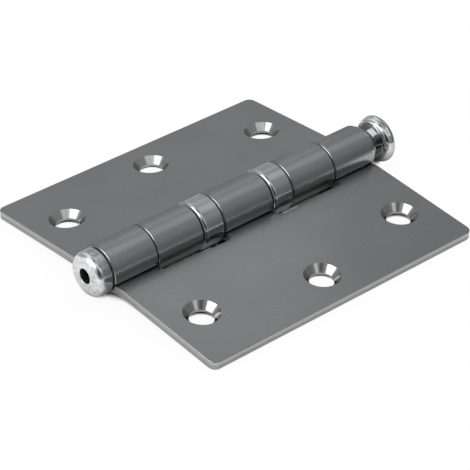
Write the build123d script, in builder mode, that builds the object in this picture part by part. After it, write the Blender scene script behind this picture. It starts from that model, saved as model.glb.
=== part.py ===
from build123d import *
from math import acos, asin, cos, degrees, radians, sin, sqrt
import os

# A square ball bearing butt hinge, opened flat and laid on its barrel.
# Millimetres. The pin lies along Y with its head at +Y, and the table is z = 0.

# Leaves
HEIGHT = 89.0
HALF_WIDTH = 44.5
THICK = 2.5
FACE_DROP = 1.1
CORNER_R = 2.1

# Screw holes: two near the ends of the leaf and one further out in the middle
HOLE_R = 3.25
SINK_R = 4.875
SINK_ANGLE = 82.0
END_HOLE_FROM_END = 10.5
END_HOLE_FROM_SIDE = 17.0
MIDDLE_HOLE_FROM_SIDE = 10.0

# Rolled knuckles, from the tip: end, door, middle, door and end knuckle, with the bearings
# either side of the middle one. The door knuckles take what length is left.
KNUCKLE_R = 6.5
BEND_R = 13.0
CURL_END_ANGLE = -5.0
KNUCKLE_CHAMFER = 0.15
KNUCKLE_CHAMFER_START = 2.0
KNUCKLE_CHAMFER_END = 270.0
KNUCKLE_GAP = 0.3
END_KNUCKLE_LENGTH = 13.85
MIDDLE_KNUCKLE_LENGTH = 16.4
BEARING_LENGTH = 7.4
NOTCH_CLEARANCE = 0.6
NOTCH_CORNER_R = 0.6

# Bearings: a cup round two grooved races, with caged balls between them
RING_PROUD = 0.3
CUP_WALL = 0.55
CUP_FLOOR = 1.1
CUP_ROUND = 1.3
CUP_MOUTH_CHAMFER = 0.15
CUP_MOUTH_GAP = 0.3
CUP_FLOOR_CLEARANCE = 0.25
RACE_PIN_CLEARANCE = 0.15
CUP_RACE_CLEARANCE = 0.05
LOOSE_RACE_CLEARANCE = 0.1
BALL_R = 0.794
BALL_COUNT = 8
GROOVE_DEPTH = 0.355
GROOVE_CLEARANCE = 0.026
CAGE_THICK = 0.6
POCKET_CLEARANCE = 0.036

# Pin
PIN_CLEARANCE = 0.05
PIN_END_GAP = 0.6
PIN_END_CHAMFER = 0.8
COLLAR_R = 5.55
COLLAR_LENGTH = 1.2
NECK_R = 4.7
NECK_LENGTH = 2.1
BEAD_R = 5.0
BEAD_ROOT_R = 4.8
BEAD_LENGTH = 0.8
LIP_R = 5.75
LIP_FROM_BEAD = 1.4
LIP_HOLLOW = 0.15

# The head's flare and crown meet at HEAD_R before that edge is rounded.
HEAD_R = 7.05
HEAD_FLARE_LENGTH = 2.4
HEAD_CROWN_LENGTH = 2.25
HEAD_EDGE_ROUND = 1.3

# Tip plug
TIP_SHANK_LENGTH = 3.0
TIP_NECK_R = 5.0
TIP_NECK_LENGTH = 0.3
TIP_R = 6.15
TIP_LENGTH = 4.8
TIP_FRONT_ROUND = 1.85
TIP_REAR_CHAMFER = 0.2
TIP_HOLE_R = 2.1

# The bearing rings touch the table, so the pin's axis is one ring radius up.
# Each leaf droops until the lower edge of its outer side touches the table too.
RING_R = KNUCKLE_R + RING_PROUD
PIN_Z = RING_R
BACK_DROP = FACE_DROP + THICK
BACK_REACH = sqrt(HALF_WIDTH**2 + BACK_DROP**2)
DROOP = degrees(asin(PIN_Z / BACK_REACH) - asin(BACK_DROP / BACK_REACH))

# The origin is half-way between the tip's front and the crown of the head.
END_Y = HEIGHT / 2
STEM_LENGTH = COLLAR_LENGTH + NECK_LENGTH + BEAD_LENGTH + LIP_FROM_BEAD
HEAD_LENGTH = STEM_LENGTH + HEAD_FLARE_LENGTH + HEAD_CROWN_LENGTH
MIDDLE_Y = (TIP_LENGTH - HEAD_LENGTH) / 2

# Where the knuckles and the bearings end, measured from the middle of the leaves
BEARING_INNER_Y = MIDDLE_KNUCKLE_LENGTH / 2
BEARING_OUTER_Y = BEARING_INNER_Y + BEARING_LENGTH
FRAME_KNUCKLE_Y = END_Y - END_KNUCKLE_LENGTH
DOOR_KNUCKLE_Y = FRAME_KNUCKLE_Y - KNUCKLE_GAP
NOTCH_U = RING_R + NOTCH_CLEARANCE
BORE_R = KNUCKLE_R - THICK
PIN_R = BORE_R - PIN_CLEARANCE

# The rolled sheet leaves the knuckle's circle at LEAVE_ANGLE, then bends back until it is flat.
MIDDLE_R = KNUCKLE_R - THICK / 2
BEND_ANGLE = degrees(acos((BEND_R + FACE_DROP + THICK / 2) / (MIDDLE_R + BEND_R)))
LEAVE_ANGLE = BEND_ANGLE - 90
FLAT_U = (MIDDLE_R + BEND_R) * sin(radians(BEND_ANGLE))
BEND_CENTRE = (FLAT_U, -(MIDDLE_R + BEND_R) * cos(radians(BEND_ANGLE)))

PIN_AXIS = Axis((0, MIDDLE_Y, PIN_Z), (0, 1, 0))
FRAME_SIDE = 1
DOOR_SIDE = -1


def across_leaf(side):
    """The upright plane across a leaf: X runs out along the leaf and Y off its face."""
    droop = radians(DROOP)
    return Plane(
        origin=(0, MIDDLE_Y, PIN_Z),
        x_dir=(side * cos(droop), 0, -sin(droop)),
        z_dir=(0, -side, 0),
    )


def on_leaf(side, w):
    """The plane parallel to a leaf's face, w off the pin's axis: X runs out along the leaf."""
    droop = radians(DROOP)
    normal = Vector(side * sin(droop), 0, cos(droop))
    return Plane(
        origin=Vector(0, MIDDLE_Y, PIN_Z) + normal * w,
        x_dir=(side * cos(droop), 0, -sin(droop)),
        z_dir=normal,
    )


def along_pin(turn=0.0):
    """A plane through the pin's axis: X is the radius, turned down from +X, and Y runs along it."""
    a = radians(turn)
    return Plane(origin=(0, MIDDLE_Y, PIN_Z), x_dir=(cos(a), 0, -sin(a)), z_dir=(sin(a), 0, cos(a)))


def across_pin(y):
    """The plane across the pin at y, measured from the middle of the leaves."""
    return Plane(origin=(0, MIDDLE_Y + y, PIN_Z), x_dir=(1, 0, 0), z_dir=(0, 1, 0))


def rolled_sheet(side):
    """The leaf with its curl along the whole height, and its two outer corners rounded."""
    turn = 360 + LEAVE_ANGLE - CURL_END_ANGLE
    with BuildSketch(across_leaf(side)) as section:
        with BuildLine():
            outside = CenterArc((0, 0), KNUCKLE_R, CURL_END_ANGLE, turn)
            inside = CenterArc((0, 0), BORE_R, CURL_END_ANGLE, turn)
            Line(outside @ 0, inside @ 0)
            under = CenterArc(BEND_CENTRE, BEND_R - THICK / 2, 90, BEND_ANGLE)
            over = CenterArc(BEND_CENTRE, BEND_R + THICK / 2, 90, BEND_ANGLE)
            Polyline(under @ 0, (HALF_WIDTH, -BACK_DROP), (HALF_WIDTH, -FACE_DROP), over @ 0)
        make_face()
    sheet = extrude(section.sketch, amount=END_Y, both=True)
    plane = on_leaf(side, 0)
    upright = sheet.edges().filter_by(Axis(plane.origin, plane.z_dir))
    fillet(upright.sort_by(Axis(plane.origin, plane.x_dir))[-2:], CORNER_R)


def cut_notch(side, low, high):
    """The gap in the leaf from y = low to y = high, for the other leaf's knuckles and the bearings."""
    with BuildSketch(on_leaf(side, 0)) as gap:
        with Locations((0, side * (low + high) / 2)):
            Rectangle(2 * NOTCH_U, high - low)
        fillet(gap.vertices().sort_by(Axis.X)[-2:], NOTCH_CORNER_R)
    extrude(gap.sketch, amount=NOTCH_U, both=True, mode=Mode.SUBTRACT)


def chamfer_knuckle(side, y, inward):
    """A chamfer round a knuckle's end at y, from the curl's free end to the barrel's underside."""
    c = KNUCKLE_CHAMFER
    start = DROOP - CURL_END_ANGLE + KNUCKLE_CHAMFER_START
    with BuildSketch(along_pin(start if side > 0 else 180 - start)) as corner:
        with BuildLine():
            past = KNUCKLE_R + c
            Polyline((KNUCKLE_R - c, y), (past, y), (past, y + 2 * c * inward), close=True)
        make_face()
    around = Axis(PIN_AXIS.position, (0, -side, 0))
    revolve(corner.sketch, axis=around, revolution_arc=KNUCKLE_CHAMFER_END + start, mode=Mode.SUBTRACT)


def sink_holes(side):
    """The three countersunk screw holes."""
    end_u = HALF_WIDTH - END_HOLE_FROM_SIDE
    end_y = END_Y - END_HOLE_FROM_END
    middle_u = HALF_WIDTH - MIDDLE_HOLE_FROM_SIDE
    with Locations(on_leaf(side, -FACE_DROP)):
        with Locations((end_u, end_y), (end_u, -end_y), (middle_u, 0)):
            CounterSinkHole(HOLE_R, SINK_R, depth=2 * THICK, counter_sink_angle=SINK_ANGLE)


os.makedirs("parts", exist_ok=True)

# Frame leaf: the first, third and fifth knuckles, counted from the tip
with BuildPart() as frame_leaf:
    rolled_sheet(FRAME_SIDE)
    cut_notch(FRAME_SIDE, -FRAME_KNUCKLE_Y, -BEARING_INNER_Y)
    cut_notch(FRAME_SIDE, BEARING_INNER_Y, FRAME_KNUCKLE_Y)
    sink_holes(FRAME_SIDE)
    for end, inward in ((END_Y, -1), (FRAME_KNUCKLE_Y, 1), (BEARING_INNER_Y, -1)):
        chamfer_knuckle(FRAME_SIDE, end, inward)
        chamfer_knuckle(FRAME_SIDE, -end, -inward)
frame_leaf.part.label = "frame_leaf"
export_step(frame_leaf.part, "parts/frame_leaf.step")

# Door leaf: the second and fourth knuckles
with BuildPart() as door_leaf:
    rolled_sheet(DOOR_SIDE)
    cut_notch(DOOR_SIDE, -END_Y - THICK, -DOOR_KNUCKLE_Y)
    cut_notch(DOOR_SIDE, -BEARING_OUTER_Y, BEARING_OUTER_Y)
    cut_notch(DOOR_SIDE, DOOR_KNUCKLE_Y, END_Y + THICK)
    sink_holes(DOOR_SIDE)
    for end, inward in ((DOOR_KNUCKLE_Y, -1), (BEARING_OUTER_Y, 1)):
        chamfer_knuckle(DOOR_SIDE, end, inward)
        chamfer_knuckle(DOOR_SIDE, -end, -inward)
door_leaf.part.label = "door_leaf"
export_step(door_leaf.part, "parts/door_leaf.step")

# Hinge pin: a loose pin with a collar, a beaded neck and a flared button head
collar_y = END_Y + COLLAR_LENGTH
bead_y = collar_y + NECK_LENGTH
flare_y = bead_y + BEAD_LENGTH
lip_y = END_Y + STEM_LENGTH
edge_y = lip_y + HEAD_FLARE_LENGTH
crown_y = END_Y + HEAD_LENGTH
pin_end_y = -END_Y + TIP_SHANK_LENGTH + PIN_END_GAP
crown_ball_r = (HEAD_R**2 + HEAD_CROWN_LENGTH**2) / (2 * HEAD_CROWN_LENGTH)
crown_start = degrees(asin(1 - HEAD_CROWN_LENGTH / crown_ball_r))
with BuildPart() as hinge_pin:
    with BuildSketch(along_pin()) as outline:
        with BuildLine():
            Polyline(
                (0, crown_y),
                (0, pin_end_y),
                (PIN_R - PIN_END_CHAMFER, pin_end_y),
                (PIN_R, pin_end_y + PIN_END_CHAMFER),
                (PIN_R, END_Y),
                (COLLAR_R, END_Y),
                (COLLAR_R, collar_y),
            )
            neck = (NECK_R, (collar_y + bead_y) / 2)
            ThreePointArc((COLLAR_R, collar_y), neck, (BEAD_ROOT_R, bead_y))
            bead = (BEAD_R, (bead_y + flare_y) / 2)
            ThreePointArc((BEAD_ROOT_R, bead_y), bead, (BEAD_ROOT_R, flare_y))
            SagittaArc((BEAD_ROOT_R, flare_y), (LIP_R, lip_y), -LIP_HOLLOW)
            Line((LIP_R, lip_y), (HEAD_R, edge_y))
            CenterArc((0, crown_y - crown_ball_r), crown_ball_r, crown_start, 90 - crown_start)
        make_face()
        edge = outline.vertices().sort_by_distance((HEAD_R, edge_y))[0]
        fillet(edge, HEAD_EDGE_ROUND)
    revolve(axis=PIN_AXIS)
hinge_pin.part.label = "hinge_pin"
export_step(hinge_pin.part, "parts/hinge_pin.step")

# Tip plug: pressed into the first knuckle, with a hole for the punch that drives the pin out
neck_y = -END_Y - TIP_NECK_LENGTH
front_y = -END_Y - TIP_LENGTH
with BuildPart() as tip_plug:
    with BuildSketch(along_pin()) as outline:
        with BuildLine():
            Polyline(
                (TIP_HOLE_R, -END_Y + TIP_SHANK_LENGTH),
                (BORE_R, -END_Y + TIP_SHANK_LENGTH),
                (BORE_R, -END_Y),
                (TIP_NECK_R, -END_Y),
                (TIP_NECK_R, neck_y),
                (TIP_R, neck_y),
                (TIP_R, front_y),
                (TIP_HOLE_R, front_y),
                close=True,
            )
        make_face()
        front = outline.vertices().sort_by_distance((TIP_R, front_y))[0]
        fillet(front, TIP_FRONT_ROUND)
        rear = outline.vertices().sort_by_distance((TIP_R, neck_y))[0]
        chamfer(rear, TIP_REAR_CHAMFER)
    revolve(axis=PIN_AXIS)
tip_plug.part.label = "tip_plug"
export_step(tip_plug.part, "parts/tip_plug.step")

# The two bearings, each with the floor of its cup on the knuckle nearer the tip
cup_bore_r = RING_R - CUP_WALL
cup_floor_bore_r = PIN_R + CUP_FLOOR_CLEARANCE
race_bore_r = PIN_R + RACE_PIN_CLEARANCE
cup_race_r = cup_bore_r - CUP_RACE_CLEARANCE
loose_race_r = cup_bore_r - LOOSE_RACE_CLEARANCE
ball_circle_r = (race_bore_r + loose_race_r) / 2
groove_r = BALL_R + GROOVE_CLEARANCE
pocket_r = BALL_R + POCKET_CLEARANCE
race_spacing = 2 * (groove_r - GROOVE_DEPTH)
race_thick = (BEARING_LENGTH - CUP_FLOOR - race_spacing) / 2
for place, floor_y in (("near", -BEARING_OUTER_Y), ("far", BEARING_INNER_Y)):
    mouth_y = floor_y + BEARING_LENGTH - CUP_MOUTH_GAP
    cup_race_y = floor_y + CUP_FLOOR
    cup_race_face = cup_race_y + race_thick
    balls_y = cup_race_face + race_spacing / 2
    loose_race_face = cup_race_face + race_spacing
    loose_race_end = floor_y + BEARING_LENGTH

    with BuildPart() as cup:
        with BuildSketch(along_pin()) as outline:
            with BuildLine():
                Polyline(
                    (cup_floor_bore_r, floor_y),
                    (RING_R, floor_y),
                    (RING_R, mouth_y),
                    (cup_bore_r, mouth_y),
                    (cup_bore_r, cup_race_y),
                    (cup_floor_bore_r, cup_race_y),
                    close=True,
                )
            make_face()
            base = outline.vertices().sort_by_distance((RING_R, floor_y))[0]
            fillet(base, CUP_ROUND)
            mouth = outline.vertices().sort_by_distance((RING_R, mouth_y))[0]
            chamfer(mouth, CUP_MOUTH_CHAMFER)
        revolve(axis=PIN_AXIS)
    cup.part.label = f"{place}_bearing_cup"
    export_step(cup.part, f"parts/{place}_bearing_cup.step")

    races = (
        ("cup_race", cup_race_r, cup_race_y, cup_race_face),
        ("loose_race", loose_race_r, loose_race_face, loose_race_end),
    )
    for kind, race_r, low, high in races:
        with BuildPart() as race:
            with BuildSketch(along_pin()):
                with Locations(((race_bore_r + race_r) / 2, (low + high) / 2)):
                    Rectangle(race_r - race_bore_r, high - low)
                with Locations((ball_circle_r, balls_y)):
                    Circle(groove_r, mode=Mode.SUBTRACT)
            revolve(axis=PIN_AXIS)
        race.part.label = f"{place}_{kind}"
        export_step(race.part, f"parts/{place}_{kind}.step")

    with BuildPart() as cage:
        with BuildSketch(across_pin(balls_y)):
            Circle(loose_race_r)
            Circle(race_bore_r, mode=Mode.SUBTRACT)
            with PolarLocations(ball_circle_r, BALL_COUNT):
                Circle(pocket_r, mode=Mode.SUBTRACT)
        extrude(amount=CAGE_THICK / 2, both=True)
    cage.part.label = f"{place}_cage"
    export_step(cage.part, f"parts/{place}_cage.step")

    for number in range(BALL_COUNT):
        with BuildPart(across_pin(balls_y)) as ball:
            with PolarLocations(ball_circle_r, 1, start_angle=number * 360 / BALL_COUNT):
                Sphere(BALL_R)
        ball.part.label = f"{place}_ball_{number + 1}"
        export_step(ball.part, f"parts/{place}_ball_{number + 1}.step")
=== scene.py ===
from math import acos, asin, atan2, ceil, cos, hypot, pi, radians, sin, sqrt, tan

import bmesh
import bpy
from mathutils import Matrix, Vector


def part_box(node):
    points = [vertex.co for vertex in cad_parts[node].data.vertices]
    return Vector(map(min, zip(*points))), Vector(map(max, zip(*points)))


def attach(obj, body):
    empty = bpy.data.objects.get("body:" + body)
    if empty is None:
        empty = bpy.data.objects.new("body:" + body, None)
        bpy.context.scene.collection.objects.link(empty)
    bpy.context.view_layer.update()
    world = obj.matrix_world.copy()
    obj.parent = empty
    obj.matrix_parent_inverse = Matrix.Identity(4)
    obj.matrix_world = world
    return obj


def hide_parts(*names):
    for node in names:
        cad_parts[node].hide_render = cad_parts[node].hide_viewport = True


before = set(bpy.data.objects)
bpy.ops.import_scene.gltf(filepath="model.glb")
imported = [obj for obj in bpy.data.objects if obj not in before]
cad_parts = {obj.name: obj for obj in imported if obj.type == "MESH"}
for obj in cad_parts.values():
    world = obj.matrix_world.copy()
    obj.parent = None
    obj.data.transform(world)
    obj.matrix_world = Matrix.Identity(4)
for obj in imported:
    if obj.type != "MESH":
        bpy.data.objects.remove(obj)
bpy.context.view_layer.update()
scene = bpy.context.scene

# The studio: a soft grey tent over the hinge, with lighter and darker patches that the metal
# shows, a large softbox on the camera's left, a small one on its right, and a dim card close
# behind the barrel.


def node(tree, kind, inputs=(), **settings):
    """A node with its settings and inputs. An input may be another node's socket."""
    made = tree.nodes.new(kind)
    for key, value in settings.items():
        setattr(made, key, value)
    for key, value in dict(inputs).items():
        if isinstance(value, bpy.types.NodeSocket):
            tree.links.new(value, made.inputs[key])
        else:
            made.inputs[key].default_value = value
    return made


def add(tree, kind, inputs=(), **settings):
    """A shader node with its settings and inputs."""
    return node(tree, "ShaderNode" + kind, inputs, **settings)


def spread(tree, value, low, high, from_low=0.3, from_high=0.7, **settings):
    """A value's range moved to low to high. Left out, the range is the one noise mostly keeps to."""
    sockets = {"Value": value, "From Min": from_low, "From Max": from_high, "To Min": low, "To Max": high}
    return add(tree, "MapRange", sockets, **settings).outputs[0]


def calc(tree, operation, first, second, **settings):
    """One step of arithmetic on two values."""
    return add(tree, "Math", {0: first, 1: second}, operation=operation, **settings).outputs[0]


def product(tree, first, second):
    """Two values multiplied."""
    return calc(tree, "MULTIPLY", first, second)


def toward(azimuth, elevation):
    """The direction at an azimuth turned from +X towards +Y, and an elevation, in degrees."""
    a, e = radians(azimuth), radians(elevation)
    return Vector((cos(a) * cos(e), sin(a) * cos(e), sin(e)))


TENT_LEVEL = (0.375, 0.382, 0.386)
TENT_PATCHES = [  # azimuth, elevation, radius and blur in degrees, and what is added to the tent
    ("band_overhead", 90, 65, 12, 12, (0.33, 0.335, 0.32)),
    ("light_left", 150, 24, 30, 20, (0.10, 0.10, 0.10)),
    ("dim_left", 127, 43, 9, 12, (-0.09, -0.09, -0.09)),
    ("light_far_left", 182, 38, 14, 8, (0.35, 0.35, 0.35)),
    ("light_overhead_left", -160, 60, 16, 8, (0.50, 0.50, 0.50)),
    ("light_overhead", -128, 68, 9, 5, (0.40, 0.40, 0.40)),
    ("dark_right", 38, -9, 24, 26, (-0.19, -0.19, -0.19)),
    ("dark_camera", -35, 41, 8, 6, (-0.10, -0.10, -0.10)),
    ("dark_below_camera", -32, 14, 23, 8, (-0.34, -0.34, -0.34)),
    ("light_above_camera", -55, 57, 11, 5, (0.68, 0.68, 0.68)),
    ("light_above_right", -10, 57, 11, 5, (0.62, 0.62, 0.62)),
    ("light_low_front", -112, 8, 20, 14, (1.20, 1.20, 1.20)),
    ("dark_overhead", -80, 82, 10, 8, (-0.25, -0.25, -0.25)),
    ("dark_far", 97, 2, 17, 14, (-0.20, -0.20, -0.20)),
]
world = bpy.data.worlds.new("studio_tent")
scene.world = world
world.use_nodes = True
tent = world.node_tree
tent.nodes.clear()
tent_way = add(tent, "TexCoord").outputs["Generated"]
tent_way = add(tent, "VectorMath", {0: tent_way}, operation="NORMALIZE").outputs[0]
tent_light = add(tent, "CombineColor", dict(enumerate(TENT_LEVEL))).outputs[0]
for label, azimuth, elevation, radius, blur, lighter in TENT_PATCHES:
    middle = toward(azimuth, elevation)
    near = add(tent, "VectorMath", {0: tent_way, 1: middle}, operation="DOT_PRODUCT", label=label)
    near = near.outputs["Value"]
    outer, inner = cos(radians(radius + blur)), cos(radians(max(radius - blur, 0)))
    share = spread(tent, near, 0.0, 1.0, outer, inner, interpolation_type="SMOOTHSTEP")
    patch = add(tent, "VectorMath", {0: lighter, "Scale": share}, operation="SCALE")
    tent_light = add(tent, "VectorMath", {0: tent_light, 1: patch.outputs[0]}, operation="ADD").outputs[0]
tent_cloth = add(tent, "Background", {"Color": tent_light})
add(tent, "OutputWorld", {"Surface": tent_cloth.outputs[0]})

SOFTBOXES = [  # distance in metres, azimuth, elevation, width and height in degrees, brightness
    ("key_softbox", 0.7, -98.5, 41, 45, 26, 2.8),
    ("fill_softbox", 0.7, 2, 35, 18, 20, 0.6),
    ("near_card", 0.25, 140, 46, 24, 20, 0.22),
]
for name, distance, azimuth, elevation, wide, high, brightness in SOFTBOXES:
    lamp = bpy.data.lights.new(name, "AREA")
    lamp.shape = "RECTANGLE"
    lamp.size = 2 * distance * tan(radians(wide / 2))
    lamp.size_y = 2 * distance * tan(radians(high / 2))
    lamp.energy = brightness * pi * lamp.size * lamp.size_y
    holder = bpy.data.objects.new(name, lamp)
    scene.collection.objects.link(holder)
    way = toward(azimuth, elevation)
    holder.location = way * distance
    holder.rotation_euler = way.to_track_quat("Z", "Y").to_euler()
    holder.visible_camera = False

# The table is matt white paper. The picture shows it white, and dark only deep in the gaps under
# the hinge, while the metal also sees the hinge's shade and the head's shadow on it. Further out,
# where only the metal sees it, it is as grey as the tent.
TABLE_HALF = 3.0
TABLE_WHITE = (0.86, 0.86, 0.86, 1)
SHADE_REACH = 0.022
SHADE_IN_PICTURE = 0.06
DEEP_SHADE_FROM = 0.82
DEEP_SHADE_TO = 0.92
DEEP_SHADE = 1.15
SHADE_SAMPLES = 32
HEAD_SHADOW_AT = (-0.014, 0.051, 0.0)
HEAD_SHADOW_REACH = 0.019
HEAD_SHADOW_BLUR = 0.007
HEAD_SHADOW = 0.85
WHITE_TO = 0.07
GREY_FROM = 0.13
GREY_LEFT = 0.44
GREY_RIGHT = 0.17
GREY_RIGHT_AZIMUTH = 34
WHITE_FRONT_AZIMUTH = -112
WHITE_FRONT_FROM = 0.75
WHITE_FRONT_TO = 0.95
table = bpy.data.objects.new("table", bpy.data.meshes.new("table"))
corners = [(TABLE_HALF * x, TABLE_HALF * y, 0) for x, y in ((-1, -1), (1, -1), (1, 1), (-1, 1))]
table.data.from_pydata(corners, [], [(0, 1, 2, 3)])
scene.collection.objects.link(table)
paper = bpy.data.materials.new("white_paper")
paper.use_nodes = True
tree = paper.node_tree
tree.nodes.clear()
ray = add(tree, "LightPath")
in_picture = ray.outputs["Is Camera Ray"]
open_sky = add(tree, "AmbientOcclusion", {"Distance": SHADE_REACH}, samples=SHADE_SAMPLES)
shade = calc(tree, "SUBTRACT", 1.0, open_sky.outputs["AO"])
deep = spread(tree, shade, SHADE_IN_PICTURE, DEEP_SHADE, DEEP_SHADE_FROM, DEEP_SHADE_TO)
kept = spread(tree, in_picture, 1.0, deep, 0.0, 1.0)
open_white = calc(tree, "SUBTRACT", 1.0, product(tree, shade, kept), use_clamp=True)
where = add(tree, "TexCoord").outputs["Object"]
distance = add(tree, "VectorMath", {0: where}, operation="LENGTH").outputs["Value"]
right_way = toward(GREY_RIGHT_AZIMUTH, 0)
rightward = add(tree, "VectorMath", {0: where, 1: right_way}, operation="DOT_PRODUCT").outputs["Value"]
grey = spread(tree, rightward, GREY_LEFT, GREY_RIGHT, -GREY_FROM, GREY_FROM)
outward = add(tree, "VectorMath", {0: where}, operation="NORMALIZE").outputs[0]
front_way = toward(WHITE_FRONT_AZIMUTH, 0)
frontward = add(tree, "VectorMath", {0: outward, 1: front_way}, operation="DOT_PRODUCT").outputs["Value"]
grey = spread(tree, frontward, grey, 1.0, WHITE_FRONT_FROM, WHITE_FRONT_TO)
level = spread(tree, distance, 1.0, grey, WHITE_TO, GREY_FROM, interpolation_type="SMOOTHSTEP")
level = calc(tree, "MAXIMUM", level, in_picture)
from_head = add(tree, "VectorMath", {0: where, 1: HEAD_SHADOW_AT}, operation="DISTANCE").outputs["Value"]
inner, outer = HEAD_SHADOW_REACH - HEAD_SHADOW_BLUR, HEAD_SHADOW_REACH + HEAD_SHADOW_BLUR
cast = spread(tree, from_head, 1 - HEAD_SHADOW, 1.0, inner, outer, interpolation_type="SMOOTHSTEP")
cast = calc(tree, "MAXIMUM", cast, in_picture)
white = product(tree, product(tree, open_white, level), cast)
seen = calc(tree, "ADD", in_picture, ray.outputs["Is Glossy Ray"])
seen = calc(tree, "ADD", seen, ray.outputs["Is Transmission Ray"], use_clamp=True)
matt = add(tree, "BsdfDiffuse", {"Color": TABLE_WHITE})
glow = add(tree, "Emission", {"Color": (1, 1, 1, 1), "Strength": white})
laid = add(tree, "MixShader", {0: seen, 1: matt.outputs[0], 2: glow.outputs[0]})
add(tree, "OutputMaterial", {"Surface": laid.outputs[0]})
table.data.materials.append(paper)

# The camera stands where the photograph was taken from: in front of the frame leaf, on the
# side of the tip, and looks down at the middle of the hinge.
MM = 0.001
leaf_low, leaf_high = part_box("frame_leaf")
cup_low, cup_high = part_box("near_bearing_cup")
MIDDLE_Y = (leaf_low.y + leaf_high.y) / 2 / MM
PIN_Z = (cup_low.z + cup_high.z) / 2 / MM
CAMERA_AZIMUTH = 48.7993
CAMERA_ELEVATION = 34.209
CAMERA_ROLL = 0.4796
LENS_PIXELS = 2250.80
PICTURE_PIXELS = 470
SENSOR = 36.0
CLIP_START = 0.01
CLIP_END = 20
CAMERA_DISTANCE = 578.38
AIM_FROM_PIN = (10.4347, -8.5638, 0.0)
a, e, r = radians(CAMERA_AZIMUTH), radians(CAMERA_ELEVATION), radians(CAMERA_ROLL)
back = Vector((sin(a) * cos(e), -cos(a) * cos(e), sin(e)))
level_right = Vector((cos(a), sin(a), 0))
level_up = back.cross(level_right)
right = level_right * cos(r) + level_up * sin(r)
up = level_up * cos(r) - level_right * sin(r)
camera = bpy.data.objects.new("camera", bpy.data.cameras.new("camera"))
scene.collection.objects.link(camera)
camera.data.sensor_width = SENSOR
camera.data.lens = LENS_PIXELS / PICTURE_PIXELS * SENSOR
camera.data.clip_start = CLIP_START
camera.data.clip_end = CLIP_END
stand = Matrix((right, up, back)).transposed().to_4x4()
stand.translation = (Vector(AIM_FROM_PIN) + Vector((0, MIDDLE_Y, PIN_Z)) + back * CAMERA_DISTANCE) * MM
camera.matrix_world = stand
scene.camera = camera
scene.view_settings.view_transform = "Standard"

# The two leaves are cold-rolled steel sheet, blanked flat with their knuckle tabs and a relief
# beside each bearing, countersunk for three screws, and rolled round the pin. The sheared edges
# have a drawn-in rim, a bright cut band and a torn one, and the curled ends a fine burr.
END_Y = (leaf_high.y - leaf_low.y) / 2 / MM
HALF_WIDTH = 44.5
THICK = 2.5
FACE_DROP = 1.1
CORNER_R = 2.1
KNUCKLE_R = 6.5
BEND_R = 9.0
CURL_END = radians(-9.5)
NOTCH_ROOT = 8.55
RELIEF_ROOT = 9.15
RELIEF_FROM = 1.0
RELIEF_TO = 7.0
RELIEF_CORNER_R = 0.29
NOTCH_CORNER_R = 0.6
TAB_CORNER_R = 0.12
FRAME_TABS = [(-END_Y, -30.65), (-8.2, 8.2), (30.65, END_Y)]
DOOR_TABS = [(-30.35, -15.6), (15.6, 30.35)]
HOLE_R = 3.25
SINK_R = 4.875
SINK_HALF_ANGLE = radians(41.0)
END_HOLE_FROM_END = 10.5
END_HOLE_U = 27.5
MIDDLE_HOLE_U = 34.5
end_hole_y = END_Y - END_HOLE_FROM_END
HOLES = [(END_HOLE_U, end_hole_y), (END_HOLE_U, -end_hole_y), (MIDDLE_HOLE_U, 0.0)]
RIM_ROUND = 0.22
EDGE_BREAK = 0.2
EDGE_BREAK_EASE = 0.05
TORN_FROM = 0.5
TORN_FULL = 0.58
TORN_LIP_TO = 0.62
BURR_R = 0.13
BURR_IN = 0.3
BURR_SIDES = 12
CORNER_STEPS = 12
HOLE_STEPS = 128
RIM_TURNS = (90, 60, 30, 0)
CURL_STEP = radians(2.5)
CUT_TOLERANCE = 0.0005
SLIVER_LENGTH = 0.0001
RIM, SHEARED, CONE, HOLE_WALL, FACE, BACK = range(6)
FINISH_OF = {RIM: 0, SHEARED: 1, CONE: 2, HOLE_WALL: 2, FACE: 0, BACK: 0}

bore_r = KNUCKLE_R - THICK
middle_r = KNUCKLE_R - THICK / 2
bend_turn = acos((BEND_R + FACE_DROP + THICK / 2) / (middle_r + BEND_R))
flat_u = (middle_r + BEND_R) * sin(bend_turn)
bend_centre_w = -(middle_r + BEND_R) * cos(bend_turn)
leave_angle = bend_turn - pi / 2
bend_length = BEND_R * bend_turn
curl_length = middle_r * (2 * pi + leave_angle - CURL_END)
tab_end = flat_u - bend_length - curl_length
roots = [flat_u - BEND_R * asin((flat_u - root) / BEND_R) for root in (NOTCH_ROOT, RELIEF_ROOT)]
notch_root, relief_root = roots
back_drop = FACE_DROP + THICK
back_reach = hypot(HALF_WIDTH, back_drop)
droop = asin(PIN_Z / back_reach) - asin(back_drop / back_reach)


def notch_corners(y, way):
    """The notch's corners beside a knuckle, with a relief cut where a bearing stands next to it."""
    if abs(y) > DOOR_TABS[-1][0]:
        return [(notch_root, y, NOTCH_CORNER_R)]
    start, end = y + way * RELIEF_FROM, y + way * RELIEF_TO
    steps = [(notch_root, end), (relief_root, end), (relief_root, start), (notch_root, start)]
    return [(*corner, RELIEF_CORNER_R) for corner in steps] + [(notch_root, y, NOTCH_CORNER_R)]


def blank_corners(tabs):
    """The flat blank's corners, anticlockwise, each with the radius that it is rounded by."""
    outline = [(HALF_WIDTH, -END_Y, CORNER_R), (HALF_WIDTH, END_Y, CORNER_R)]
    if tabs[-1][1] < END_Y:
        outline.append((notch_root, END_Y, TAB_CORNER_R))
    for low, high in reversed(tabs):
        if high < END_Y:
            outline += notch_corners(high, 1)
        outline += [(tab_end, high, TAB_CORNER_R), (tab_end, low, TAB_CORNER_R)]
        if low > -END_Y:
            outline += notch_corners(low, -1)[::-1]
    if tabs[0][0] > -END_Y:
        outline.append((notch_root, -END_Y, TAB_CORNER_R))
    return outline


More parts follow.
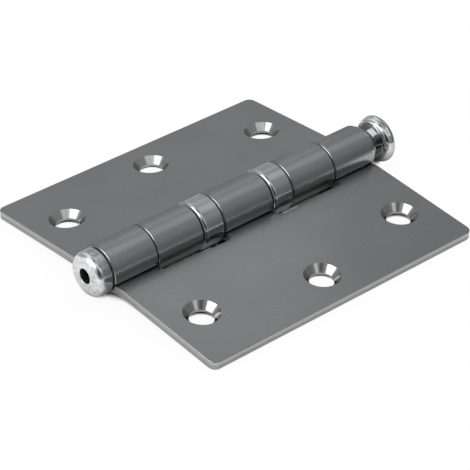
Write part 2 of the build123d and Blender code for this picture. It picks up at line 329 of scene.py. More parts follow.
def rounded_outline(outline, inset):
    """Points and outward directions along the blank's edge, moved in by inset."""
    points = []
    for k, (x, y, radius) in enumerate(outline):
        corner = Vector((x, y))
        before = (Vector(outline[k - 1][:2]) - corner).normalized()
        after = (Vector(outline[(k + 1) % len(outline)][:2]) - corner).normalized()
        hollow = after.cross(before) < 0
        sign = -1 if hollow else 1
        corner += sign * inset * (before + after)
        radius -= sign * inset
        centre = corner + radius * (before + after)
        for step in range(CORNER_STEPS + 1):
            turn = step / CORNER_STEPS * pi / 2
            out = -(after * cos(turn) + before * sin(turn))
            points.append((centre + radius * out, sign * out))
    return points


def rolled(x, depth):
    """Where the blank's x and depth come to lie across the pin, and how far the sheet turns there."""
    past = flat_u - x
    if past <= 0:
        return x, -FACE_DROP - depth, 0.0
    if past <= bend_length:
        turn = past / BEND_R
        r = BEND_R + THICK / 2 - depth
        return flat_u - r * sin(turn), bend_centre_w + r * cos(turn), turn
    turn = (past - bend_length) / middle_r
    angle = leave_angle - turn
    r = bore_r + depth
    return r * cos(angle), r * sin(angle), bend_turn - turn


def add_burrs(bm, tabs, outward):
    """A fine burr along the outer corner of each knuckle's curled end."""
    for low, high in tabs:
        rings = []
        for y in (low + BURR_IN, high - BURR_IN):
            ring = []
            for k in range(BURR_SIDES):
                turn = 2 * pi * k / BURR_SIDES
                out = Vector((cos(turn), 0, -sin(turn)))
                vert = bm.verts.new(Vector((tab_end + BURR_R, y, BURR_R - THICK)) + out * BURR_R)
                vert[outward] = out
                ring.append(vert)
            rings.append(ring)
        sides = []
        for k in range(BURR_SIDES):
            n = (k + 1) % BURR_SIDES
            sides.append(bm.faces.new((rings[0][k], rings[0][n], rings[1][n], rings[1][k])))
        sides += [bm.faces.new(rings[0][::-1]), bm.faces.new(rings[1])]
        for face in sides:
            face.material_index = SHEARED


def cut_blank(bm, tabs, outward):
    """The flat blank: its sheared edge in bands, its countersunk holes, its face and its back."""

    def ring(points, depth):
        made = []
        for place, out in points:
            vert = bm.verts.new((place.x, place.y, -depth))
            vert[outward] = out
            made.append(vert)
        return made

    def band(upper, lower, slot):
        for k in range(len(upper)):
            n = (k + 1) % len(upper)
            bm.faces.new((upper[k], lower[k], lower[n], upper[n])).material_index = slot

    outline = blank_corners(tabs)
    levels = []
    for turn in RIM_TURNS:
        t = radians(turn)
        levels.append((RIM_ROUND * (1 - cos(t)), RIM_ROUND * (1 - sin(t)), t))
    levels += [
        (0, THICK - EDGE_BREAK - EDGE_BREAK_EASE, 0),
        (EDGE_BREAK_EASE, THICK - EDGE_BREAK, -pi / 4),
        (EDGE_BREAK, THICK - EDGE_BREAK_EASE, -pi / 4),
        (EDGE_BREAK + EDGE_BREAK_EASE, THICK, -pi / 2),
    ]
    rings = []
    for inset, depth, lift in levels:
        edge = [(p, Vector((*(out * cos(lift)), sin(lift)))) for p, out in rounded_outline(outline, inset)]
        rings.append(ring(edge, depth))
    for k in range(len(rings) - 1):
        band(rings[k], rings[k + 1], SHEARED if levels[k][2] == levels[k + 1][2] == 0 else RIM)
    face_loops, back_loops = [rings[0]], [rings[-1]]
    sink_depth = (SINK_R - HOLE_R) / tan(SINK_HALF_ANGLE)
    turns = [k * 2 * pi / HOLE_STEPS for k in range(HOLE_STEPS)]
    rays = [Vector((cos(turn), -sin(turn))) for turn in turns]
    cone = [Vector((*(-ray * cos(SINK_HALF_ANGLE)), sin(SINK_HALF_ANGLE))) for ray in rays]
    wall = [Vector((*-ray, 0)) for ray in rays]
    for u, y in HOLES:
        centre = Vector((u, y))
        rim = ring([(centre + ray * SINK_R, n) for ray, n in zip(rays, cone)], 0)
        root = ring([(centre + ray * HOLE_R, n) for ray, n in zip(rays, cone)], sink_depth)
        exit_rim = ring([(centre + ray * HOLE_R, n) for ray, n in zip(rays, wall)], THICK)
        band(rim, root, CONE)
        band(root, exit_rim, HOLE_WALL)
        face_loops.append(rim)
        back_loops.append(exit_rim)
    for loops, slot in ((face_loops, FACE), (back_loops, BACK)):
        edges = [bm.edges.get((loop[k - 1], loop[k])) for loop in loops for k in range(len(loop))]
        filled = bmesh.ops.triangle_fill(bm, edges=edges, use_beauty=True)
        for face in filled["geom"]:
            if isinstance(face, bmesh.types.BMFace):
                face.material_index = slot


def slice_blank(bm):
    """Cuts the blank across into narrow strips where it is to be rolled, and faces it outward."""
    cuts = ceil(bend_length / BEND_R / CURL_STEP)
    places = [flat_u - bend_length * k / cuts for k in range(cuts + 1)]
    cuts = ceil(curl_length / middle_r / CURL_STEP)
    places += [flat_u - bend_length - curl_length * k / cuts for k in range(1, cuts)]
    for x in places:
        everything = bm.verts[:] + bm.edges[:] + bm.faces[:]
        plane = {"plane_co": (x, 0, 0), "plane_no": (1, 0, 0)}
        bmesh.ops.bisect_plane(bm, geom=everything, dist=CUT_TOLERANCE, **plane)
    bmesh.ops.triangulate(bm, faces=[face for face in bm.faces if len(face.verts) > 4])
    bmesh.ops.dissolve_degenerate(bm, dist=SLIVER_LENGTH, edges=bm.edges)
    bmesh.ops.recalc_face_normals(bm, faces=bm.faces)
    if sum(face.calc_center_median().z * face.normal.z * face.calc_area() for face in bm.faces) < 0:
        bmesh.ops.reverse_faces(bm, faces=bm.faces)


def leaf_mesh(name, side, tabs):
    """A leaf: the blank with its burrs, rolled round the pin on the +X or the -X side."""
    bm = bmesh.new()
    outward = bm.verts.layers.float_vector.new("outward")
    cut_blank(bm, tabs, outward)
    slice_blank(bm)
    add_burrs(bm, tabs, outward)
    if side < 0:
        bmesh.ops.reverse_faces(bm, faces=bm.faces)

    depth_layer = bm.verts.layers.float.new("depth")
    bm.verts.index_update()
    turned_by = []
    for vert in bm.verts:
        depth = -vert.co.z
        vert[depth_layer] = depth / THICK
        u, w, turn = rolled(vert.co.x, depth)
        turned_by.append(turn)
        vert.co = (
            side * (u * cos(droop) + w * sin(droop)) * MM,
            (MIDDLE_Y + vert.co.y) * MM,
            (PIN_Z - u * sin(droop) + w * cos(droop)) * MM,
        )
    normals = []
    straight = {FACE: Vector((0, 0, 1)), BACK: Vector((0, 0, -1))}
    for face in bm.faces:
        for corner in face.loops:
            flat = straight.get(face.material_index, corner.vert[outward]).copy()
            if face.material_index == HOLE_WALL:
                flat.z = 0
            turn = turned_by[corner.vert.index]
            nu = flat.x * cos(turn) - flat.z * sin(turn)
            nw = flat.x * sin(turn) + flat.z * cos(turn)
            across = side * (nu * cos(droop) + nw * sin(droop))
            normals.append(Vector((across, flat.y, nw * cos(droop) - nu * sin(droop))).normalized())
        face.smooth = True
    mesh = bpy.data.meshes.new(name)
    bm.to_mesh(mesh)
    bm.free()
    for face in mesh.polygons:
        face.material_index = FINISH_OF[face.material_index]
    mesh.normals_split_custom_set(normals)
    return mesh


def metal(name, color, roughness):
    """A bare metal's material, its node tree, its shader, and the Object coordinates.

    The flat colour and roughness are what shows where the nodes aren't read.
    """
    material = bpy.data.materials.new(name)
    material.use_nodes = True
    tree = material.node_tree
    shader = tree.nodes["Principled BSDF"]
    shader.inputs["Base Color"].default_value = (*color, 1)
    shader.inputs["Metallic"].default_value = 1.0
    shader.inputs["Roughness"].default_value = roughness
    return material, tree, shader, add(tree, "TexCoord").outputs["Object"]


def noise(tree, where, stretch, detail=2.0):
    """Noise with so many cells a metre along each axis."""
    cells = add(tree, "VectorMath", {0: where, 1: stretch}, operation="MULTIPLY")
    return add(tree, "TexNoise", {"Vector": cells.outputs[0], "Scale": 1.0, "Detail": detail}).outputs[0]


def fine_rings(tree, along, scale, detail):
    """Noise along one measure only: the fine rings that a cutter leaves."""
    sockets = {"W": along, "Scale": scale, "Detail": detail}
    return add(tree, "TexNoise", sockets, noise_dimensions="1D").outputs[0]


def toned(tree, shader, color, tone):
    """The colour made lighter and darker by a tone about 1."""
    paint = add(tree, "VectorMath", {0: color, "Scale": tone}, operation="SCALE")
    tree.links.new(paint.outputs[0], shader.inputs["Base Color"])


def relief(tree, shader, height, deep):
    """A relief so deep, in millimetres, over the height's range of 0 to 1."""
    bump = add(tree, "Bump", {"Height": height, "Distance": deep * MM, "Strength": 1.0})
    tree.links.new(bump.outputs[0], shader.inputs["Normal"])


def rolled_steel():
    """Satin sheet with a fine grain, faint lines along the rolling and a slight cloudiness."""
    color = (0.375, 0.385, 0.388)
    material, tree, shader, where = metal("rolled_steel", color, 0.28)
    shader.inputs["Specular Tint"].default_value = (0.6, 0.6, 0.6, 1)
    grain = noise(tree, where, (2600, 2600, 2600), 3.0)
    lines = noise(tree, where, (3200, 150, 3200))
    clouds = noise(tree, where, (65, 65, 65))
    tone = product(tree, spread(tree, clouds, 0.96, 1.04), spread(tree, grain, 0.98, 1.02))
    toned(tree, shader, color, tone)
    tree.links.new(spread(tree, lines, 0.25, 0.31), shader.inputs["Roughness"])
    relief(tree, shader, product(tree, grain, spread(tree, lines, 0.7, 1.3)), 0.0025)
    return material


def sheared_steel():
    """The cut side of the sheet: a bright band that the punch drew, and a grey torn one below."""
    color = (0.46, 0.475, 0.465)
    material, tree, shader, where = metal("sheared_steel", color, 0.3)
    depth = add(tree, "Attribute", attribute_name="depth").outputs["Fac"]
    wander = spread(tree, noise(tree, where, (420, 420, 420)), -0.07, 0.07)
    level = calc(tree, "ADD", depth, wander)
    torn = spread(tree, level, 0.0, 1.0, TORN_FROM, TORN_FULL)
    lip = spread(tree, level, 1.0, 0.0, TORN_FROM, TORN_LIP_TO)
    lip = product(tree, torn, lip)
    drag = noise(tree, where, (2600, 2600, 260))
    grit = noise(tree, where, (5200, 5200, 5200), 4.0)
    cut_tone, torn_tone = spread(tree, drag, 0.97, 1.05), spread(tree, grit, 0.80, 1.08)
    tone = add(tree, "Mix", {"Factor": torn, "A": cut_tone, "B": torn_tone}).outputs[0]
    toned(tree, shader, color, product(tree, tone, spread(tree, lip, 1.0, 0.6, 0.0, 0.3)))
    tree.links.new(spread(tree, torn, 0.26, 0.46, 0.0, 1.0), shader.inputs["Roughness"])
    rough = add(tree, "Mix", {"Factor": torn, "A": product(tree, drag, 0.3), "B": grit})
    relief(tree, shader, rough.outputs[0], 0.03)
    return material


def countersunk_steel():
    """The cone that the countersink cut: bright, with the cutter's fine rings."""
    color = (0.43, 0.44, 0.43)
    material, tree, shader, where = metal("countersunk_steel", color, 0.13)
    depth = add(tree, "Attribute", attribute_name="depth").outputs["Fac"]
    rings = fine_rings(tree, depth, 46.0, 3.0)
    chatter = noise(tree, where, (900, 900, 900))
    tone = product(tree, spread(tree, rings, 0.95, 1.05), spread(tree, chatter, 0.97, 1.03))
    toned(tree, shader, color, tone)
    tree.links.new(spread(tree, rings, 0.11, 0.17), shader.inputs["Roughness"])
    relief(tree, shader, rings, 0.0022)
    return material


leaf_finishes = [rolled_steel(), sheared_steel(), countersunk_steel()]


def piece(name, mesh, finishes, body, material_slot, *nodes):
    """Puts a finished piece in the scene: its materials, its body, and what it stands for."""
    made = bpy.data.objects.new(name, mesh)
    scene.collection.objects.link(made)
    for finish in finishes:
        mesh.materials.append(finish)
    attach(made, body)
    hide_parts(*nodes)
    return made


for leaf, side, tabs in (("frame_leaf", 1, FRAME_TABS), ("door_leaf", -1, DOOR_TABS)):
    name = f"rolled_{leaf}"
    piece(name, leaf_mesh(name, side, tabs), leaf_finishes, leaf, "leaf_steel", leaf)

# The tip plug is pressed into the first knuckle, and bored through for the punch that drives
# the pin out. It is bright zinc, tumbled, so its face is mottled and finely pitted. Like all
# that sits round the pin, it is turned from a half-section.
SHANK_LENGTH = 3.0
TIP_NECK_R = 5.0
TIP_NECK_LENGTH = 0.5
TIP_R = 6.15
TIP_LENGTH = 4.8
TIP_FRONT_ROUND = 1.85
TIP_HOLE_R = 2.1
TIP_REAR_EASE = 0.25
TIP_HOLE_EASE = 0.15
# The plug's side, behind its front rounding, is painted darker as shade.
TIP_SIDE_SHADE_FROM = 1.2
TIP_SIDE_SHADE_TO = 2.4
TIP_SIDE_SHADE_TONE = 0.72
LATHE_STEPS = 144
ROUNDING_STEP = radians(12)
SMOOTH_BELOW = radians(30)


def eased(corners):
    """A half-section's points from its corners (radius, place along the pin, rounding)."""
    points = []
    for k, (r, y, rounding) in enumerate(corners):
        corner = Vector((r, y))
        if not rounding:
            points.append(corner)
            continue
        before = (Vector(corners[k - 1][:2]) - corner).normalized()
        after = (Vector(corners[(k + 1) % len(corners)][:2]) - corner).normalized()
        half = before.angle(after) / 2
        start = corner + before * rounding / tan(half)
        centre = corner + (before + after).normalized() * rounding / sin(half)
        swept = pi - 2 * half
        sign = 1 if before.cross(after) < 0 else -1
        steps = max(3, ceil(swept / ROUNDING_STEP))
        arm = start - centre
        for step in range(steps + 1):
            turn = sign * swept * step / steps
            across = arm.x * cos(turn) - arm.y * sin(turn)
            along = arm.x * sin(turn) + arm.y * cos(turn)
            points.append(centre + Vector((across, along)))
    return points


def turned(name, corners):
    """A turned piece from its half-section, given anticlockwise. It may start and end on the axis."""
    points = eased(corners)
    on_axis = points[0].x == 0
    count = len(points)
    lengths = [(points[(k + 1) % count] - points[k]).length for k in range(count)]
    outs = []
    for k in range(count):
        along = points[(k + 1) % count] - points[k]
        outs.append(Vector((along.y, -along.x)).normalized() if along.length else Vector((0, 0)))
    verts, faces, normals = [], [], []
    for k, point in enumerate(points):
        for step in range(1 if point.x == 0 else LATHE_STEPS):
            turn = 2 * pi * step / LATHE_STEPS
            across, high = point.x * cos(turn), PIN_Z + point.x * sin(turn)
            verts.append((across * MM, (MIDDLE_Y + point.y) * MM, high * MM))
    starts = []
    total = 0
    for point in points:
        starts.append(total)
        total += 1 if point.x == 0 else LATHE_STEPS

    def normal_at(k, band):
        """The way a band faces at point k, blended with the next band's where it runs on smoothly."""
        other = (k - 1) % count if band == k else k
        own, beside = outs[band], outs[other]
        if own.length and beside.length and own.angle(beside) < SMOOTH_BELOW:
            return (own * lengths[band] + beside * lengths[other]).normalized()
        return own

    for k in range(count - 1 if on_axis else count):
        n = (k + 1) % count
        here, there = normal_at(k, k), normal_at(n, k)
        pole_here, pole_there = points[k].x == 0, points[n].x == 0
        for step in range(LATHE_STEPS):
            nxt = (step + 1) % LATHE_STEPS
            corner = [
                (starts[k] + (0 if pole_here else step), here, step),
                (starts[n] + (0 if pole_there else step), there, step),
            ]
            if not pole_there:
                corner.append((starts[n] + nxt, there, step + 1))
            if not pole_here:
                corner.append((starts[k] + nxt, here, step + 1))
            faces.append([c[0] for c in corner])
            for _, out, turn_step in corner:
                turn = 2 * pi * turn_step / LATHE_STEPS
                normals.append((out.x * cos(turn), out.y, out.x * sin(turn)))
    mesh = bpy.data.meshes.new(name)
    mesh.from_pydata(verts, [], faces)
    mesh.polygons.foreach_set("use_smooth", [True] * len(faces))
    mesh.normals_split_custom_set(normals)
    return mesh


def along_pin(tree, along, low, high, start, end):
    """A value that goes from low to high between two places along the pin."""
    return spread(tree, along, low, high, (MIDDLE_Y + start) * MM, (MIDDLE_Y + end) * MM)


def tumbled_zinc():
    """Bright zinc with a mottle of light and dull patches, small pits, and painted shade along the plug's
    side.
    """
    color = (0.79, 0.81, 0.815)
    material, tree, shader, where = metal("tumbled_zinc", color, 0.22)
    patches = noise(tree, where, (800, 800, 800), 4.0)
    specks = noise(tree, where, (1500, 1500, 1500), 2.0)
    pits = spread(tree, specks, 0.0, 1.0, 0.34, 0.42)
    along = add(tree, "SeparateXYZ", {0: where}).outputs["Y"]
    # Painted shade: darker from the front rounding back along the side.
    side = along_pin(tree, along, 1.0, TIP_SIDE_SHADE_TONE, tip_front + TIP_SIDE_SHADE_FROM, tip_front + TIP_SIDE_SHADE_TO)
    mottle_and_shade = product(tree, spread(tree, patches, 0.76, 1.12), side)
    toned(tree, shader, color, product(tree, mottle_and_shade, spread(tree, pits, 0.6, 1.0, 0.0, 1.0)))
    tree.links.new(spread(tree, patches, 0.26, 0.15), shader.inputs["Roughness"])
    height = product(tree, spread(tree, pits, 0.75, 1.0, 0.0, 1.0), patches)
    relief(tree, shader, height, 0.035)
    return material


tip_front = -END_Y - TIP_LENGTH
tip_neck = -END_Y - TIP_NECK_LENGTH
tip_section = [
    (TIP_HOLE_R, tip_front, TIP_HOLE_EASE),
    (TIP_R, tip_front, TIP_FRONT_ROUND),
    (TIP_R, tip_neck, TIP_REAR_EASE),
    (TIP_NECK_R, tip_neck, 0),
    (TIP_NECK_R, -END_Y, 0),
    (bore_r, -END_Y, 0),
    (bore_r, SHANK_LENGTH - END_Y, 0),
    (TIP_HOLE_R, SHANK_LENGTH - END_Y, 0),
]
tumbled = tumbled_zinc()
plug = turned("turned_tip_plug", tip_section)
piece("turned_tip_plug", plug, [tumbled], "frame_leaf", "zinc_plate", "tip_plug")

# The loose pin is drawn steel wire with an upset button head. The collar stands on the last
# knuckle, and the neck under the flared head is turned hollow, with a few rings, so that a
# thin tool can lift it.
PIN_R = 3.95
PIN_END_GAP = 0.6
PIN_END_CHAMFER = 0.8
PIN_END_EASE = 0.2
COLLAR_R = 5.8
COLLAR_LENGTH = 1.2
NECK_R = 4.6
NECK_ROOT_R = 4.35
NECK_LENGTH = 3.4
NECK_ROOT_LENGTH = 1.9
NECK_ROOT_RISE = 0.3
NECK_ROOT_EASE = 0.15
NECK_RINGS_RISE = 0.2
NECK_RINGS_EASE = 0.1
NECK_RINGS = 4
NECK_RING_HEIGHT = 0.27
NECK_RING_CREST = 0.78
FLARE_ROOT_R = 4.8
FLARE_LENGTH = 0.9
FLARE_HOLLOW = 0.15
FLARE_STEPS = 12
LIP_R = 5.75
BULGE_LENGTH = 1.5
BULGE_HEIGHT = 0.15
BULGE_STEPS = 10
HEAD_R = 7.05
HEAD_FLARE_LENGTH = 2.4
HEAD_CROWN_LENGTH = 2.25
HEAD_EDGE_IN = 0.08
HEAD_EDGE_ROUND = 1.0
CROWN_INNER_R = 5.0
CROWN_STEPS = 16
COLLAR_EASE = 0.15
SHANK_TO_HEAD = 0.1
SHANK_TONE = 0.78
LIP_BLUR = 0.3
# Painted shade in the hollow neck under the head, from the collar to the lip.
NECK_SHADE_BLUR = 0.2
NECK_SHADE_AT_COLLAR = 0.6
NECK_SHADE_TONE = 0.3
# The head's colour is darker from just before its rim on.
HEAD_RIM_DARK_FROM = 1.3
HEAD_RIM_DARK_TO = 0.2
HEAD_RIM_DARK_TONE = 0.7


def arc_through(first, middle, last, steps):
    """Points of the arc through three places, without its two ends, each with no rounding."""
    (ax, ay), (bx, by), (cx, cy) = first, middle, last
    d = 2 * (ax * (by - cy) + bx * (cy - ay) + cx * (ay - by))
    a2, b2, c2 = ax * ax + ay * ay, bx * bx + by * by, cx * cx + cy * cy
    ux = (a2 * (by - cy) + b2 * (cy - ay) + c2 * (ay - by)) / d
    uy = (a2 * (cx - bx) + b2 * (ax - cx) + c2 * (bx - ax)) / d
    begin, through, end = (atan2(y - uy, x - ux) for x, y in (first, middle, last))
    turn = (end - begin) % (2 * pi)
    if (through - begin) % (2 * pi) > turn:
        turn -= 2 * pi
    r = hypot(ax - ux, ay - uy)
    angles = [begin + turn * k / steps for k in range(1, steps)]
    return [(ux + r * cos(angle), uy + r * sin(angle), 0) for angle in angles]


def plated_pin():
    """Zinc over turned steel on the head, bare drawn steel with long lines on the shank, and painted shade
    in the neck.
    """
    color = (0.70, 0.72, 0.725)
    material, tree, shader, where = metal("plated_pin", color, 0.14)
    along = add(tree, "SeparateXYZ", {0: where}).outputs["Y"]
    head = along_pin(tree, along, 0.0, 1.0, END_Y, END_Y + SHANK_TO_HEAD)
    beyond_lip = along_pin(tree, along, 0.0, 1.0, lip_y, lip_y + LIP_BLUR)
    drawn = noise(tree, where, (2800, 60, 2800))
    patches = noise(tree, where, (500, 500, 500), 3.0)
    dents = spread(tree, noise(tree, where, (1000, 1000, 1000), 1.0), 0.0, 4.0, 0.2, 0.8)
    lathe = calc(tree, "ADD", fine_rings(tree, along, 3200.0, 2.0), product(tree, dents, beyond_lip))
    height = add(tree, "Mix", {"Factor": head, "A": drawn, "B": lathe})
    dull = add(tree, "Mix", {"Factor": head, "A": SHANK_TONE, "B": spread(tree, patches, 0.88, 1.08)})
    # Painted shade: the neck darkens from the collar to the lip.
    into_neck = (collar_y - NECK_SHADE_BLUR, collar_y + NECK_SHADE_BLUR)
    from_collar = along_pin(tree, along, NECK_SHADE_AT_COLLAR, 1.0, *into_neck)
    neck_shade = product(tree, from_collar, along_pin(tree, along, 1.0, 0.0, lip_y - LIP_BLUR, lip_y))
    # The head's colour darkens from just before its rim on.
    edge = along_pin(tree, along, 1.0, HEAD_RIM_DARK_TONE, edge_y - HEAD_RIM_DARK_FROM, edge_y - HEAD_RIM_DARK_TO)
    tone = product(tree, edge, spread(tree, neck_shade, 1.0, NECK_SHADE_TONE, 0.0, 1.0))
    toned(tree, shader, color, product(tree, dull.outputs[0], tone))
    tree.links.new(spread(tree, patches, 0.15, 0.08), shader.inputs["Roughness"])
    relief(tree, shader, height.outputs[0], 0.005)
    return material


collar_y = END_Y + COLLAR_LENGTH
rings_y = collar_y + NECK_ROOT_LENGTH
flare_y = collar_y + NECK_LENGTH
lip_y = flare_y + FLARE_LENGTH
edge_y = lip_y + HEAD_FLARE_LENGTH
crown_y = edge_y + HEAD_CROWN_LENGTH
pin_end_y = -END_Y + SHANK_LENGTH + PIN_END_GAP
crown_ball_r = (HEAD_R**2 + HEAD_CROWN_LENGTH**2) / (2 * HEAD_CROWN_LENGTH)
crown = [CROWN_INNER_R * (1 - k / CROWN_STEPS) for k in range(CROWN_STEPS)]
crown = [(r, crown_y - crown_ball_r + sqrt(crown_ball_r**2 - r**2), 0) for r in crown]
ring_length = (flare_y - rings_y) / NECK_RINGS
neck_rings = []
for k in range(NECK_RINGS):
    root_r = NECK_R + (FLARE_ROOT_R - NECK_R) * k / NECK_RINGS
    root_y = rings_y + ring_length * k
    crest_y = root_y + ring_length * NECK_RING_CREST
    neck_rings += [(root_r, root_y, 0), (root_r + NECK_RING_HEIGHT, crest_y, 0)]
flare_way = Vector((LIP_R - FLARE_ROOT_R, lip_y - flare_y)).normalized()
flare_middle = (
    (FLARE_ROOT_R + LIP_R) / 2 - flare_way.y * FLARE_HOLLOW,
    (flare_y + lip_y) / 2 + flare_way.x * FLARE_HOLLOW,
)
flare = ((FLARE_ROOT_R, flare_y), flare_middle, (LIP_R, lip_y))
bulge_way = Vector((HEAD_R - LIP_R, edge_y - lip_y)).normalized()
bulge_end = (LIP_R + bulge_way.x * BULGE_LENGTH, lip_y + bulge_way.y * BULGE_LENGTH)
bulge_middle = (
    LIP_R + bulge_way.x * BULGE_LENGTH / 2 + bulge_way.y * BULGE_HEIGHT,
    lip_y + bulge_way.y * BULGE_LENGTH / 2 - bulge_way.x * BULGE_HEIGHT,
)
pin_section = [
    (0, pin_end_y, 0),
    (PIN_R - PIN_END_CHAMFER, pin_end_y, PIN_END_EASE),
    (PIN_R, pin_end_y + PIN_END_CHAMFER, PIN_END_EASE),
    (PIN_R, END_Y, 0),
    (COLLAR_R, END_Y, COLLAR_EASE),
    (COLLAR_R, collar_y, COLLAR_EASE),
    (NECK_ROOT_R, collar_y + NECK_ROOT_RISE, NECK_ROOT_EASE),
    (NECK_ROOT_R, rings_y - NECK_RINGS_RISE, NECK_RINGS_EASE),
    *neck_rings,
    (FLARE_ROOT_R, flare_y, 0),
    *arc_through(*flare, FLARE_STEPS),
    (LIP_R, lip_y, 0),
    *arc_through((LIP_R, lip_y), bulge_middle, bulge_end, BULGE_STEPS),
    (*bulge_end, 0),
    (HEAD_R - HEAD_EDGE_IN, edge_y, HEAD_EDGE_ROUND),
    *crown,
    (0, crown_y, 0),
]
plated = plated_pin()
pin = turned("turned_hinge_pin", pin_section)
piece("turned_hinge_pin", pin, [plated], "hinge_pin", "zinc_plate", "hinge_pin")

# Each bearing is a drawn steel cup, zinc plated, round two hardened grooved races. One race
# is pressed in the cup and the other turns with the knuckle beside the cup's mouth.
CUP_R = 6.8
BEARING_LENGTH = 7.4
CUP_WALL = 0.55
CUP_FLOOR = 1.1
CUP_ROUND = 1.15
CUP_SEAT_R = 4.9
CUP_SEAT_STEP = 0.33
CUP_MOUTH_EASE = 0.15
CUP_MOUTH_GAP = 0.8
CUP_FLOOR_CLEARANCE = 0.25
CUP_FLOOR_EASE = 0.1
RACE_PIN_CLEARANCE = 0.15
CUP_RACE_CLEARANCE = 0.05
LOOSE_RACE_CLEARANCE = 0.1
RACE_EASE = 0.12
RACE_STEP = 0.75
BALL_R = 0.794
GROOVE_DEPTH = 0.355
GROOVE_CLEARANCE = 0.026
GROOVE_STEPS = 12


def plated_cup():
    """Zinc plate with a blue cast, over the fine rings of a drawn and turned cup."""
    color = (0.49, 0.52, 0.545)
    material, tree, shader, where = metal("plated_cup", color, 0.18)
    along = add(tree, "SeparateXYZ", {0: where}).outputs["Y"]
    rings = fine_rings(tree, along, 2600.0, 3.0)
    patches = noise(tree, where, (330, 330, 330), 3.0)
    tone = product(tree, spread(tree, patches, 0.94, 1.06), spread(tree, rings, 0.97, 1.03))
    toned(tree, shader, color, tone)
    tree.links.new(spread(tree, patches, 0.15, 0.21), shader.inputs["Roughness"])
    relief(tree, shader, product(tree, rings, spread(tree, patches, 0.9, 1.1)), 0.004)
    return material


def ground_race():
    """Hardened steel, ground in fine rings round the bore."""
    color = (0.55, 0.55, 0.56)
    material, tree, shader, where = metal("ground_race", color, 0.16)
    parts = add(tree, "SeparateXYZ", {0: where})
    high = calc(tree, "SUBTRACT", parts.outputs["Z"], PIN_Z * MM)
    out = add(tree, "CombineXYZ", {"X": parts.outputs["X"], "Y": high})
    out = add(tree, "VectorMath", {0: out.outputs[0]}, operation="LENGTH").outputs["Value"]
    rings = fine_rings(tree, out, 5200.0, 2.0)
    stains = noise(tree, where, (240, 240, 240))
    tone = product(tree, spread(tree, rings, 0.93, 1.05), spread(tree, stains, 0.95, 1.04))
    toned(tree, shader, color, tone)
    tree.links.new(spread(tree, rings, 0.12, 0.2), shader.inputs["Roughness"])
    relief(tree, shader, rings, 0.003)
    return material


def groove(face_y, way):
    """The corners of a race's ball groove, cut in its face, deeper towards where way points."""
    start = (ball_circle_r - way * half_groove, face_y)
    deepest = (ball_circle_r, face_y + way * GROOVE_DEPTH)
    end = (ball_circle_r + way * half_groove, face_y)
    return [(*start, 0), *arc_through(start, deepest, end, GROOVE_STEPS), (*end, 0)]


plate = plated_cup()
ground = ground_race()
cup_bore_r = CUP_R - CUP_WALL
cup_floor_bore_r = PIN_R + CUP_FLOOR_CLEARANCE
race_bore_r = PIN_R + RACE_PIN_CLEARANCE
cup_race_r = cup_bore_r - CUP_RACE_CLEARANCE
loose_race_r = cup_bore_r - LOOSE_RACE_CLEARANCE
ball_circle_r = (race_bore_r + loose_race_r) / 2
groove_r = BALL_R + GROOVE_CLEARANCE
race_spacing = 2 * (groove_r - GROOVE_DEPTH)
race_thick = (BEARING_LENGTH - CUP_FLOOR - race_spacing) / 2
half_groove = sqrt(groove_r**2 - (race_spacing / 2) ** 2)
bearing_inner_y = -FRAME_TABS[1][0]
bearings = (
    ("near", -bearing_inner_y - BEARING_LENGTH, "door_leaf", "frame_leaf"),
    ("far", bearing_inner_y, "frame_leaf", "door_leaf"),
)
for place, floor_y, cup_body, loose_body in bearings:
    mouth_y = floor_y + BEARING_LENGTH - CUP_MOUTH_GAP
    cup_section = [
        (cup_floor_bore_r, floor_y, CUP_FLOOR_EASE),
        (CUP_SEAT_R, floor_y, CUP_FLOOR_EASE),
        (CUP_SEAT_R + CUP_SEAT_STEP, floor_y + CUP_SEAT_STEP, CUP_FLOOR_EASE),
        (CUP_R, floor_y + CUP_SEAT_STEP, CUP_ROUND),
        (CUP_R, mouth_y, CUP_MOUTH_EASE),
        (cup_bore_r, mouth_y, CUP_MOUTH_EASE),
        (cup_bore_r, floor_y + CUP_FLOOR, 0),
        (cup_floor_bore_r, floor_y + CUP_FLOOR, CUP_FLOOR_EASE),
    ]
    name = f"{place}_drawn_cup"
    piece(name, turned(name, cup_section), [plate], cup_body, "zinc_plate", f"{place}_bearing_cup")

    race_face = floor_y + CUP_FLOOR + race_thick
    race_section = [
        (race_bore_r, floor_y + CUP_FLOOR, RACE_EASE),
        (cup_race_r, floor_y + CUP_FLOOR, RACE_EASE),
        (cup_race_r, race_face, RACE_EASE),
        *groove(race_face, -1),
        (race_bore_r, race_face, RACE_EASE),
    ]
    name = f"{place}_pressed_race"
    piece(name, turned(name, race_section), [ground], cup_body, "race_steel", f"{place}_cup_race")

    loose_face = race_face + race_spacing
    rear_y = floor_y + BEARING_LENGTH
    loose_section = [
        (race_bore_r, loose_face, RACE_EASE),
        *groove(loose_face, 1),
        (loose_race_r, loose_face, RACE_EASE),
        (loose_race_r, rear_y - RACE_STEP, RACE_EASE),
        (loose_race_r - RACE_STEP, rear_y - RACE_STEP, 0),
        (loose_race_r - RACE_STEP, rear_y, RACE_EASE),
        (race_bore_r, rear_y, RACE_EASE),
    ]
    name = f"{place}_turning_race"
    piece(name, turned(name, loose_section), [ground], loose_body, "race_steel", f"{place}_loose_race")

# A cage pressed from brass strip keeps the balls of each bearing apart and turns with them.
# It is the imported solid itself, and only takes its metal here.


def pressed_brass():
    """Brass strip, a little dull, with rolling lines and darker blotches."""
    color = (0.72, 0.53, 0.25)
    material, tree, shader, where = metal("pressed_brass", color, 0.24)
    blotches = noise(tree, where, (600, 600, 600), 3.0)
    lines = noise(tree, where, (5200, 400, 400))
    tone = product(tree, spread(tree, blotches, 0.8, 1.06), spread(tree, lines, 0.96, 1.03))
    toned(tree, shader, color, tone)
    tree.links.new(spread(tree, blotches, 0.32, 0.2), shader.inputs["Roughness"])
    relief(tree, shader, lines, 0.003)
    return material


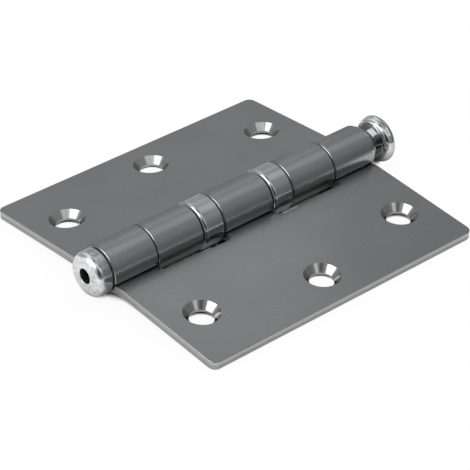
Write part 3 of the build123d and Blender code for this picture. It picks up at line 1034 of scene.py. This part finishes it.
brass = pressed_brass()
for place in ("near", "far"):
    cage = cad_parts[f"{place}_cage"]
    cage.data.materials.clear()
    cage.data.materials.append(brass)

# Each bearing runs on eight polished chrome steel balls, set round the pin by one tree of
# geometry nodes and given the lapped finish there.
BALL_COUNT = 8
BALL_ROUNDS = 5


def lapped_steel():
    """Mirror-bright balls with a trace of haze and fine lapping scratches."""
    color = (0.66, 0.67, 0.68)
    material, tree, shader, where = metal("lapped_steel", color, 0.06)
    haze = noise(tree, where, (1400, 1400, 1400))
    scratches = noise(tree, where, (9000, 1200, 9000), 3.0)
    toned(tree, shader, color, spread(tree, haze, 0.95, 1.04))
    tree.links.new(spread(tree, haze, 0.04, 0.09), shader.inputs["Roughness"])
    relief(tree, shader, scratches, 0.0006)
    return material


def ball_ring_tree(finish):
    """Geometry nodes that set balls evenly on a circle round the pin."""
    tree = bpy.data.node_groups.new("ball_ring", "GeometryNodeTree")
    sizes = {
        "Ball Radius": BALL_R * MM,
        "Circle Radius": ball_circle_r * MM,
        "Place Along Pin": 0.0,
        "Pin Height": PIN_Z * MM,
    }
    for label, size in sizes.items():
        tree.interface.new_socket(label, in_out="INPUT", socket_type="NodeSocketFloat").default_value = size
    counted = tree.interface.new_socket("Ball Count", in_out="INPUT", socket_type="NodeSocketInt")
    counted.default_value = BALL_COUNT
    tree.interface.new_socket("Balls", in_out="OUTPUT", socket_type="NodeSocketGeometry")

    given = node(tree, "NodeGroupInput").outputs
    laid = {"Vertices": given["Ball Count"], "Radius": given["Circle Radius"]}
    circle = node(tree, "GeometryNodeMeshCircle", laid)
    middle = add(tree, "CombineXYZ", {"Y": given["Place Along Pin"], "Z": given["Pin Height"]})
    stood = {"Geometry": circle.outputs[0], "Translation": middle.outputs[0], "Rotation": (pi / 2, 0, 0)}
    upright = node(tree, "GeometryNodeTransform", stood)
    rounded = {"Radius": given["Ball Radius"], "Subdivisions": BALL_ROUNDS}
    ball = node(tree, "GeometryNodeMeshIcoSphere", rounded)
    placed = {"Points": upright.outputs[0], "Instance": ball.outputs[0]}
    balls = node(tree, "GeometryNodeInstanceOnPoints", placed)
    real = node(tree, "GeometryNodeRealizeInstances", {"Geometry": balls.outputs[0]})
    smooth = node(tree, "GeometryNodeSetShadeSmooth", {"Geometry": real.outputs[0]})
    done = node(tree, "GeometryNodeSetMaterial", {"Geometry": smooth.outputs[0], "Material": finish})
    node(tree, "NodeGroupOutput", {0: done.outputs[0]})
    return tree


lapped = lapped_steel()
ring_tree = ball_ring_tree(lapped)
sockets = {item.name: item.identifier for item in ring_tree.interface.items_tree if item.in_out == "INPUT"}
for place, floor_y, *_ in bearings:
    balls_y = floor_y + CUP_FLOOR + race_thick + race_spacing / 2
    maker = bpy.data.objects.new("ball_ring_maker", bpy.data.meshes.new("ball_ring_maker"))
    scene.collection.objects.link(maker)
    setting = maker.modifiers.new("ball_ring", "NODES")
    setting.node_group = ring_tree
    setting[sockets["Place Along Pin"]] = (MIDDLE_Y + balls_y) * MM
    evaluated = maker.evaluated_get(bpy.context.evaluated_depsgraph_get())
    mesh = bpy.data.meshes.new_from_object(evaluated)
    maker.modifiers.clear()
    bpy.data.objects.remove(maker)
    mesh.materials.clear()
    stands_for = [f"{place}_ball_{number + 1}" for number in range(BALL_COUNT)]
    piece(f"{place}_lapped_balls", mesh, [lapped], f"{place}_balls", "ball_steel", *stands_for)
